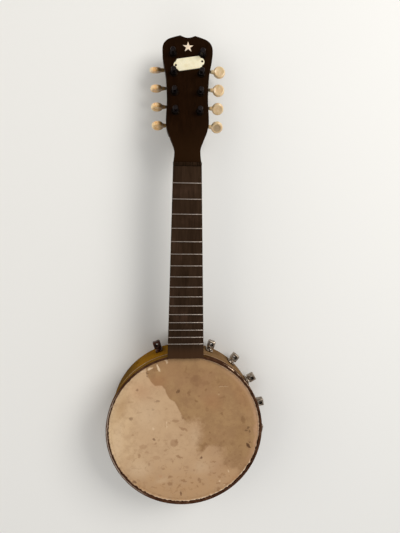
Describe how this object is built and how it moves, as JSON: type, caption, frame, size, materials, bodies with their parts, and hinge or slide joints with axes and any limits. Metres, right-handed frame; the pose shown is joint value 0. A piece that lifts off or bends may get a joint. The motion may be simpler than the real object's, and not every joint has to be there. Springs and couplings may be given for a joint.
{
  "type": "banjo ukulele",
  "caption": "Small fretted banjo with a stained skin head on a wooden rim, bracket shoes, a slim neck and a headstock with geared tuners and cream buttons.",
  "frame": {"origin": "the middle of the object's footprint in X and Y, at the height of the rim's back edge, on which it lies", "axes": "+Y up the neck to the tip of the headstock, +Z out of the skin head, towards the player's view of the strings, and +X to the right when the head faces the viewer"},
  "size_m": [0.2054, 0.5814, 0.0664],
  "materials": {
    "neck_wood": "dark stained maple under worn varnish",
    "headplate_wood": "near-black veneer with worn varnish",
    "inlay_pearl": "pale pearl",
    "plate_ivory": "aged cream celluloid, left bare",
    "board_wood": "dark stained wood with grey-gold fret wire",
    "nut_ebony": "blackened hardwood",
    "rim_maple": "amber varnished steam-bent maple",
    "vellum": "aged stained calf vellum",
    "flesh_wire": "dull brass wire",
    "hoop_metal": "browned metal, brighter along its top edge",
    "plain_maple": "bare maple",
    "wedge_maple": "bare maple",
    "bolt_steel": "tarnished nickel plate",
    "shoe_nickel": "tarnished nickel plate",
    "tuner_plate_steel": "dull stamped steel",
    "tuner_steel": "dull steel",
    "post_steel": "dark tarnished steel",
    "button_cream": "aged cream celluloid"
  },
  "bodies": {
    "frame": {"bracket_shoe_1": "shoe_nickel", "bracket_shoe_10": "shoe_nickel", "bracket_shoe_11": "shoe_nickel", "bracket_shoe_12": "shoe_nickel", "bracket_shoe_2": "shoe_nickel", "bracket_shoe_3": "shoe_nickel", "bracket_shoe_4": "shoe_nickel", "bracket_shoe_5": "shoe_nickel", "bracket_shoe_6": "shoe_nickel", "bracket_shoe_7": "shoe_nickel", "bracket_shoe_8": "shoe_nickel", "bracket_shoe_9": "shoe_nickel", "dowel_stick": "plain_maple", "end_bolt": "bolt_steel", "fingerboard": "board_wood", "flesh_hoop": "flesh_wire", "headplate": "headplate_wood", "name_plate": "plate_ivory", "neck": "neck_wood", "neck_wedge": "wedge_maple", "nut": "nut_ebony", "rim": "rim_maple", "skin_head": "vellum", "star_inlay": "inlay_pearl", "tension_hoop": "hoop_metal", "tuner_plate_left": "tuner_plate_steel", "tuner_plate_right": "tuner_plate_steel"},
    "knob_left_1": {"button_left_1": "button_cream", "worm_shaft_left_1": "tuner_steel"},
    "post_left_1": {"string_post_left_1": "post_steel", "worm_wheel_left_1": "tuner_steel"},
    "knob_left_2": {"button_left_2": "button_cream", "worm_shaft_left_2": "tuner_steel"},
    "post_left_2": {"string_post_left_2": "post_steel", "worm_wheel_left_2": "tuner_steel"},
    "knob_left_3": {"button_left_3": "button_cream", "worm_shaft_left_3": "tuner_steel"},
    "post_left_3": {"string_post_left_3": "post_steel", "worm_wheel_left_3": "tuner_steel"},
    "knob_left_4": {"button_left_4": "button_cream", "worm_shaft_left_4": "tuner_steel"},
    "post_left_4": {"string_post_left_4": "post_steel", "worm_wheel_left_4": "tuner_steel"},
    "knob_right_1": {"button_right_1": "button_cream", "worm_shaft_right_1": "tuner_steel"},
    "post_right_1": {"string_post_right_1": "post_steel", "worm_wheel_right_1": "tuner_steel"},
    "knob_right_2": {"button_right_2": "button_cream", "worm_shaft_right_2": "tuner_steel"},
    "post_right_2": {"string_post_right_2": "post_steel", "worm_wheel_right_2": "tuner_steel"},
    "knob_right_3": {"button_right_3": "button_cream", "worm_shaft_right_3": "tuner_steel"},
    "post_right_3": {"string_post_right_3": "post_steel", "worm_wheel_right_3": "tuner_steel"},
    "knob_right_4": {"button_right_4": "button_cream", "worm_shaft_right_4": "tuner_steel"},
    "post_right_4": {"string_post_right_4": "post_steel", "worm_wheel_right_4": "tuner_steel"}
  },
  "joints": [
    {"name": "knob_turn_left_1", "type": "hinge", "parent": "frame", "child": "knob_left_1", "pos_m": [-0.01927, 0.18775, 0.03475], "axis": [0.999, 0.0431, -0.0068], "continuous": true},
    {"name": "post_turn_left_1", "type": "hinge", "parent": "frame", "child": "post_left_1", "pos_m": [-0.01966, 0.19665, 0.03334], "axis": [0, 0.1564, 0.9877], "continuous": true},
    {"name": "knob_turn_left_2", "type": "hinge", "parent": "frame", "child": "knob_left_2", "pos_m": [-0.02027, 0.21045, 0.03115], "axis": [0.999, 0.0431, -0.0068], "continuous": true},
    {"name": "post_turn_left_2", "type": "hinge", "parent": "frame", "child": "post_left_2", "pos_m": [-0.02066, 0.21935, 0.02974], "axis": [0, 0.1564, 0.9877], "continuous": true},
    {"name": "knob_turn_left_3", "type": "hinge", "parent": "frame", "child": "knob_left_3", "pos_m": [-0.02127, 0.23314, 0.02756], "axis": [0.999, 0.0431, -0.0068], "continuous": true},
    {"name": "post_turn_left_3", "type": "hinge", "parent": "frame", "child": "post_left_3", "pos_m": [-0.02167, 0.24205, 0.02615], "axis": [0, 0.1564, 0.9877], "continuous": true},
    {"name": "knob_turn_left_4", "type": "hinge", "parent": "frame", "child": "knob_left_4", "pos_m": [-0.02228, 0.25584, 0.02396], "axis": [0.999, 0.0431, -0.0068], "continuous": true},
    {"name": "post_turn_left_4", "type": "hinge", "parent": "frame", "child": "post_left_4", "pos_m": [-0.02267, 0.26474, 0.02255], "axis": [0, 0.1564, 0.9877], "continuous": true},
    {"name": "knob_turn_right_1", "type": "hinge", "parent": "frame", "child": "knob_right_1", "pos_m": [0.00853, 0.18775, 0.03475], "axis": [0.999, -0.0431, 0.0068], "continuous": true},
    {"name": "post_turn_right_1", "type": "hinge", "parent": "frame", "child": "post_right_1", "pos_m": [0.00893, 0.19665, 0.03334], "axis": [0, 0.1564, 0.9877], "continuous": true},
    {"name": "knob_turn_right_2", "type": "hinge", "parent": "frame", "child": "knob_right_2", "pos_m": [0.00954, 0.21045, 0.03115], "axis": [0.999, -0.0431, 0.0068], "continuous": true},
    {"name": "post_turn_right_2", "type": "hinge", "parent": "frame", "child": "post_right_2", "pos_m": [0.00993, 0.21935, 0.02974], "axis": [0, 0.1564, 0.9877], "continuous": true},
    {"name": "knob_turn_right_3", "type": "hinge", "parent": "frame", "child": "knob_right_3", "pos_m": [0.01054, 0.23314, 0.02756], "axis": [0.999, -0.0431, 0.0068], "continuous": true},
    {"name": "post_turn_right_3", "type": "hinge", "parent": "frame", "child": "post_right_3", "pos_m": [0.01093, 0.24205, 0.02615], "axis": [0, 0.1564, 0.9877], "continuous": true},
    {"name": "knob_turn_right_4", "type": "hinge", "parent": "frame", "child": "knob_right_4", "pos_m": [0.01154, 0.25584, 0.02396], "axis": [0.999, -0.0431, 0.0068], "continuous": true},
    {"name": "post_turn_right_4", "type": "hinge", "parent": "frame", "child": "post_right_4", "pos_m": [0.01194, 0.26474, 0.02255], "axis": [0, 0.1564, 0.9877], "continuous": true}
  ],
  "couplings": [
    {"joint": "post_turn_left_1", "follows": "knob_turn_left_1", "ratio": -0.071429},
    {"joint": "post_turn_left_2", "follows": "knob_turn_left_2", "ratio": -0.071429},
    {"joint": "post_turn_left_3", "follows": "knob_turn_left_3", "ratio": -0.071429},
    {"joint": "post_turn_left_4", "follows": "knob_turn_left_4", "ratio": -0.071429},
    {"joint": "post_turn_right_1", "follows": "knob_turn_right_1", "ratio": -0.071429},
    {"joint": "post_turn_right_2", "follows": "knob_turn_right_2", "ratio": -0.071429},
    {"joint": "post_turn_right_3", "follows": "knob_turn_right_3", "ratio": -0.071429},
    {"joint": "post_turn_right_4", "follows": "knob_turn_right_4", "ratio": -0.071429}
  ]
}
